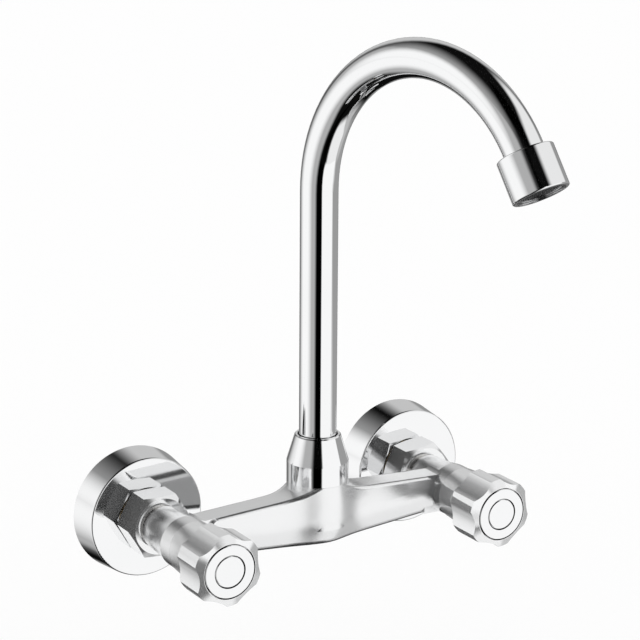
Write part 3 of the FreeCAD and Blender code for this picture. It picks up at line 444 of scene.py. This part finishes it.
def make_world():
    """Plain white to the eye, and the studio in what the metal mirrors."""
    world = bpy.data.worlds.new("studio")
    bpy.context.scene.world = world
    world.use_nodes = True
    tree = world.node_tree
    tree.nodes.clear()
    direction = add_node(tree, "ShaderNodeTexCoord").outputs["Generated"]
    spin = add_node(tree, "ShaderNodeVectorRotate", rotation_type="Z_AXIS")
    spin.inputs["Angle"].default_value = math.radians(-CAMERA_AZIMUTH)
    tree.links.new(direction, spin.inputs["Vector"])
    parts = add_node(tree, "ShaderNodeSeparateXYZ")
    tree.links.new(spin.outputs["Vector"], parts.inputs["Vector"])
    across = math_node(tree, "MULTIPLY", parts.outputs["Y"], -1.0)
    azimuth = math_node(tree, "DEGREES", math_node(tree, "ARCTAN2", parts.outputs["X"], across))
    elevation = math_node(tree, "DEGREES", math_node(tree, "ARCSINE", parts.outputs["Z"]))

    def cover(turn, height, wide, high, square, blur):
        """1 in the middle of a patch, falling to 0 at its edge."""
        aside = math_node(tree, "WRAP", math_node(tree, "SUBTRACT", azimuth, turn), HALF_TURN)
        aside.node.inputs[2].default_value = -HALF_TURN
        aside = math_node(tree, "ABSOLUTE", math_node(tree, "DIVIDE", aside, wide))
        above = math_node(tree, "SUBTRACT", elevation, height)
        above = math_node(tree, "ABSOLUTE", math_node(tree, "DIVIDE", above, high))
        total = math_node(tree, "ADD", math_node(tree, "POWER", aside, square),
                          math_node(tree, "POWER", above, square))
        reach = math_node(tree, "POWER", total, 1.0 / square)
        fade = add_node(tree, "ShaderNodeMapRange", interpolation_type="SMOOTHSTEP")
        fade.inputs["From Min"].default_value = 1.0
        fade.inputs["From Max"].default_value = 1.0 - blur
        tree.links.new(reach, fade.inputs["Value"])
        return fade.outputs["Result"]

    level = linear(AMBIENT)
    for *patch, grey in PANELS:
        lit = math_node(tree, "MULTIPLY", cover(*patch), linear(grey))
        level = math_node(tree, "MAXIMUM", lit, level)
    for patch in SHADES:
        level = math_node(tree, "MULTIPLY", level, math_node(tree, "SUBTRACT", 1.0, cover(*patch)))
    mirrored = add_node(tree, "ShaderNodeBackground")
    tree.links.new(level, mirrored.inputs["Color"])
    white = add_node(tree, "ShaderNodeBackground", Color=(1.0, 1.0, 1.0, 1.0), Strength=1.0)
    out = add_node(tree, "ShaderNodeOutputWorld")
    tree.links.new(split_glossy(tree, white, mirrored), out.inputs["Surface"])


def make_floor():
    """A plain white floor that takes the shadow; the metal looks through it at the studio."""
    mesh = bpy.data.meshes.new("floor")
    half, low = FLOOR_SIZE / 2, cad_box[0][2] - FLOOR_DROP
    mesh.from_pydata([(-half, -half, low), (half, -half, low), (half, half, low), (-half, half, low)],
                     [], [(0, 1, 2, 3)])
    floor = bpy.data.objects.new("floor", mesh)
    bpy.context.collection.objects.link(floor)
    material, tree, shader = new_material("white_floor")
    shader.inputs["Base Color"].default_value = (FLOOR_GREY, FLOOR_GREY, FLOOR_GREY, 1.0)
    shader.inputs["Roughness"].default_value = FLOOR_ROUGHNESS
    shader.inputs["Specular IOR Level"].default_value = 0.0
    clear = add_node(tree, "ShaderNodeBsdfTransparent")
    tree.links.new(split_glossy(tree, shader, clear), tree.nodes["Material Output"].inputs["Surface"])
    mesh.materials.append(material)


make_camera()
make_world()
make_floor()
bpy.context.scene.view_settings.view_transform = "Standard"

# ---------------------------------------------------------------- pieces

# Each node has its own finish or else the plain one of its slot.
finishes = {"chrome": chrome("chrome_plate", waviness=0.000004),
            "brass": brass(), "rubber": rubber(), "ceramic": ceramic(), "steel": steel(),
            "nylon": nylon("moulded_nylon", light=(0.86, 0.86, 0.83), dark=(0.74, 0.74, 0.70))}

groove_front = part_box("left_knob_cap")[0].y + GROOVE_LIP
cast_chrome = chrome("chrome_on_casting", waviness=0.000004, milkiness=0.04, gloss=(0.20, 0.27))
# The knob and cap chromes carry painted shade on the walls of the ring grooves.
knob_chrome = chrome("chrome_on_moulding", waviness=0.000006, milkiness=0.22, gloss=(0.05, 0.10),
                     groove_front=groove_front)
cap_chrome = chrome("chrome_on_cap", waviness=0.000004, gloss=(0.02, 0.06), groove_front=groove_front)
nut_chrome = chrome("chrome_on_bar", waviness=0.000005, milkiness=0.12, gloss=(0.04, 0.09))
turned_chrome = chrome("chrome_on_turning", waviness=0.000003, gloss=(0.035, 0.06))
nickel_plate = nickel()
dark_nylon = nylon("dark_nylon", light=(0.05, 0.05, 0.05), dark=(0.03, 0.03, 0.03))
own_finish = {"body": cast_chrome, "swivel_nut": turned_chrome, "aerator_cage": dark_nylon,
              "aerator_diffuser": dark_nylon}
for side in ("left", "right"):
    own_finish[side + "_knob"] = knob_chrome
    own_finish[side + "_knob_cap"] = cap_chrome
    own_finish[side + "_index_button"] = cap_chrome
    own_finish[side + "_coupling_nut"] = nut_chrome
    own_finish[side + "_inlet_nipple"] = nickel_plate

slots = {part["node"]: part["material_slot"] for part in frame["record"]["subparts"]}
for name, node in frame["nodes"].items():
    for place in node.material_slots:
        place.material = own_finish.get(name) or finishes[slots[name]]
for side in (-1, 1):
    threaded_union(side, finishes["brass"])
